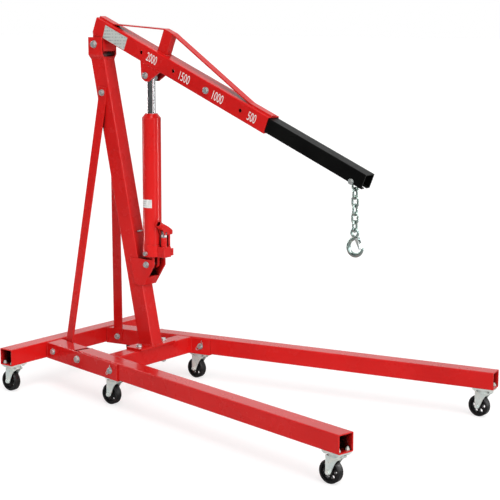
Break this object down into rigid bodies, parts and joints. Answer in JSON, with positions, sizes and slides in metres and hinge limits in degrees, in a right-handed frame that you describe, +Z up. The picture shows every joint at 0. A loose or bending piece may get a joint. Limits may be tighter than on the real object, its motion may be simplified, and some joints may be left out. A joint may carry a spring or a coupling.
{
  "type": "engine hoist",
  "caption": "Folding engine hoist on casters: leaning mast, ram-raised boom with a sliding extension, and a chain with a latched hook.",
  "frame": {"origin": "on the floor, under the middle of the hoist's overall length and width", "axes": "+X forward along the legs from the mast, +Y to the hoist's left, +Z up"},
  "size_m": [1.725, 1.0282, 1.4514],
  "materials": {
    "black_paint": "satin black",
    "caster_zinc": "dull zinc plate",
    "chain_steel": "pale zinc plate, worn",
    "chrome": "hard chrome",
    "red_paint": "gloss red enamel",
    "wheel_black": "moulded nylon",
    "zinc": "bright zinc plate"
  },
  "bodies": {
    "base": {"rear_crossbar": "red_paint", "rail_left": "red_paint", "rail_right": "red_paint", "front_crossbeam": "red_paint", "mast_foot_plate": "red_paint", "mast": "red_paint", "mast_head_bracket": "red_paint", "ram_base_bracket": "red_paint", "handle_clip": "zinc", "brace_left": "red_paint", "brace_right": "red_paint", "brace_top_bolt": "zinc", "boom_pivot_bolt": "zinc", "ram_base_bolt": "zinc", "leg_pivot_bolts": "zinc", "leg_lock_pins": "zinc", "brace_bottom_bolts": "zinc", "mast_foot_bolts": "zinc", "base_caster_mounts": "caster_zinc"},
    "leg_left": {"leg_left": "red_paint", "leg_caster_mount_left": "caster_zinc"},
    "leg_right": {"leg_right": "red_paint", "leg_caster_mount_right": "caster_zinc"},
    "boom": {"boom": "red_paint", "boom_heel": "red_paint", "boom_pivot_tube": "red_paint", "boom_truss": "red_paint", "ram_ears": "red_paint", "ram_top_bolt": "zinc", "extension_bolt": "zinc"},
    "boom_extension": {"boom_extension": "black_paint", "chain_bolt": "zinc"},
    "chain_link_1": {"chain_link_1": "chain_steel"},
    "chain_link_2": {"chain_link_2": "chain_steel"},
    "chain_link_3": {"chain_link_3": "chain_steel"},
    "chain_link_4": {"chain_link_4": "chain_steel"},
    "chain_link_5": {"chain_link_5": "chain_steel"},
    "chain_link_6": {"chain_link_6": "chain_steel"},
    "load_hook": {"load_hook": "chain_steel"},
    "hook_latch": {"hook_latch": "zinc"},
    "ram": {"ram_cylinder": "red_paint", "ram_gland": "red_paint", "ram_base": "red_paint", "pump_link": "red_paint"},
    "ram_rod": {"ram_rod": "chrome"},
    "pump_lever": {"pump_lever": "red_paint"},
    "pump_plunger": {"pump_plunger": "chrome"},
    "release_valve": {"release_valve": "zinc"},
    "fork_rear_left": {"fork_rear_left": "caster_zinc"},
    "wheel_rear_left": {"wheel_rear_left": "wheel_black"},
    "fork_middle_left": {"fork_middle_left": "caster_zinc"},
    "wheel_middle_left": {"wheel_middle_left": "wheel_black"},
    "fork_front_left": {"fork_front_left": "caster_zinc"},
    "wheel_front_left": {"wheel_front_left": "wheel_black"},
    "fork_rear_right": {"fork_rear_right": "caster_zinc"},
    "wheel_rear_right": {"wheel_rear_right": "wheel_black"},
    "fork_middle_right": {"fork_middle_right": "caster_zinc"},
    "wheel_middle_right": {"wheel_middle_right": "wheel_black"},
    "fork_front_right": {"fork_front_right": "caster_zinc"},
    "wheel_front_right": {"wheel_front_right": "wheel_black"}
  },
  "joints": [
    {"name": "boom_raise", "type": "hinge", "parent": "base", "child": "boom", "pos_m": [-0.6435, 0, 1.3438], "axis": [0, -1, 0], "range_deg": [-12, 20]},
    {"name": "ram_tilt", "type": "hinge", "parent": "base", "child": "ram", "pos_m": [-0.3874, 0, 0.5044], "axis": [0, 1, 0], "range_deg": [-3, 3]},
    {"name": "rod_slide", "type": "slide", "parent": "ram", "child": "ram_rod", "axis": [0.0039, 0, 1], "range_m": [-0.08, 0.11]},
    {"name": "extension_slide", "type": "slide", "parent": "boom", "child": "boom_extension", "axis": [0.9239, 0, -0.3827], "range_m": [-0.345, 0.1725]},
    {"name": "chain_swing_1", "type": "hinge", "parent": "boom_extension", "child": "chain_link_1", "pos_m": [0.5539, 0, 0.89761], "axis": [0, 1, 0], "range_deg": [-28, 50]},
    {"name": "chain_swing_2", "type": "hinge", "parent": "chain_link_1", "child": "chain_link_2", "pos_m": [0.5539, 0, 0.86501], "axis": [1, 0, 0], "range_deg": [-30, 30]},
    {"name": "chain_swing_3", "type": "hinge", "parent": "chain_link_2", "child": "chain_link_3", "pos_m": [0.5539, 0, 0.83641], "axis": [0, 1, 0], "range_deg": [-20, 20]},
    {"name": "chain_swing_4", "type": "hinge", "parent": "chain_link_3", "child": "chain_link_4", "pos_m": [0.5539, 0, 0.80781], "axis": [1, 0, 0], "range_deg": [-30, 30]},
    {"name": "chain_swing_5", "type": "hinge", "parent": "chain_link_4", "child": "chain_link_5", "pos_m": [0.5539, 0, 0.77921], "axis": [0, 1, 0], "range_deg": [-20, 20]},
    {"name": "chain_swing_6", "type": "hinge", "parent": "chain_link_5", "child": "chain_link_6", "pos_m": [0.5539, 0, 0.75061], "axis": [1, 0, 0], "range_deg": [-30, 30]},
    {"name": "hook_swing", "type": "hinge", "parent": "chain_link_6", "child": "load_hook", "pos_m": [0.5539, 0, 0.72201], "axis": [0, 1, 0], "range_deg": [-25, 25]},
    {"name": "latch_hinge", "type": "hinge", "parent": "load_hook", "child": "hook_latch", "pos_m": [0.5659, 0, 0.69641], "axis": [0, 1, 0], "range_deg": [0, 35], "stiffness_Nm_per_rad": 0.05, "springref_deg": -22.92},
    {"name": "lever_rock", "type": "hinge", "parent": "ram", "child": "pump_lever", "pos_m": [-0.33292, 0.032, 0.62819], "axis": [-1, 0, 0.0039], "range_deg": [-15, 20]},
    {"name": "plunger_slide", "type": "slide", "parent": "ram", "child": "pump_plunger", "axis": [0.0039, 0, 1], "range_m": [-0.0075, 0.0095]},
    {"name": "valve_turn", "type": "hinge", "parent": "ram", "child": "release_valve", "pos_m": [-0.38322, -0.039, 0.54938], "axis": [0, -1, 0], "range_deg": [0, 360]},
    {"name": "leg_fold_left", "type": "hinge", "parent": "base", "child": "leg_left", "pos_m": [-0.55318, 0.21075, 0.144], "axis": [0.1891, -0.982, 0], "range_deg": [0, 90]},
    {"name": "leg_fold_right", "type": "hinge", "parent": "base", "child": "leg_right", "pos_m": [-0.55318, -0.21075, 0.144], "axis": [-0.1891, -0.982, 0], "range_deg": [0, 90]},
    {"name": "swivel_rear_left", "type": "hinge", "parent": "base", "child": "fork_rear_left", "pos_m": [-0.8025, 0.3545, 0.1005], "axis": [0, 0, 1], "continuous": true},
    {"name": "spin_rear_left", "type": "hinge", "parent": "fork_rear_left", "child": "wheel_rear_left", "pos_m": [-0.8225, 0.3545, 0.04], "axis": [0, 1, 0], "continuous": true},
    {"name": "swivel_middle_left", "type": "hinge", "parent": "base", "child": "fork_middle_left", "pos_m": [-0.35797, 0.24834, 0.1005], "axis": [0, 0, 1], "continuous": true},
    {"name": "spin_middle_left", "type": "hinge", "parent": "fork_middle_left", "child": "wheel_middle_left", "pos_m": [-0.37797, 0.24834, 0.04], "axis": [0, 1, 0], "continuous": true},
    {"name": "swivel_front_left", "type": "hinge", "parent": "leg_left", "child": "fork_front_left", "pos_m": [0.81557, 0.47433, 0.1005], "axis": [0, 0, 1], "continuous": true},
    {"name": "spin_front_left", "type": "hinge", "parent": "fork_front_left", "child": "wheel_front_left", "pos_m": [0.79557, 0.47433, 0.04], "axis": [0, 1, 0], "continuous": true},
    {"name": "swivel_rear_right", "type": "hinge", "parent": "base", "child": "fork_rear_right", "pos_m": [-0.8025, -0.3545, 0.1005], "axis": [0, 0, 1], "continuous": true},
    {"name": "spin_rear_right", "type": "hinge", "parent": "fork_rear_right", "child": "wheel_rear_right", "pos_m": [-0.8225, -0.3545, 0.04], "axis": [0, 1, 0], "continuous": true},
    {"name": "swivel_middle_right", "type": "hinge", "parent": "base", "child": "fork_middle_right", "pos_m": [-0.35797, -0.24834, 0.1005], "axis": [0, 0, 1], "continuous": true},
    {"name": "spin_middle_right", "type": "hinge", "parent": "fork_middle_right", "child": "wheel_middle_right", "pos_m": [-0.37797, -0.24834, 0.04], "axis": [0, 1, 0], "continuous": true},
    {"name": "swivel_front_right", "type": "hinge", "parent": "leg_right", "child": "fork_front_right", "pos_m": [0.81557, -0.47433, 0.1005], "axis": [0, 0, 1], "continuous": true},
    {"name": "spin_front_right", "type": "hinge", "parent": "fork_front_right", "child": "wheel_front_right", "pos_m": [0.79557, -0.47433, 0.04], "axis": [0, 1, 0], "continuous": true}
  ],
  "couplings": [
    {"joint": "ram_tilt", "follows": "boom_raise", "ratio": 0.1169},
    {"joint": "rod_slide", "follows": "boom_raise", "m_per_rad": 0.2615},
    {"joint": "plunger_slide", "follows": "lever_rock", "m_per_rad": 0.026}
  ]
}
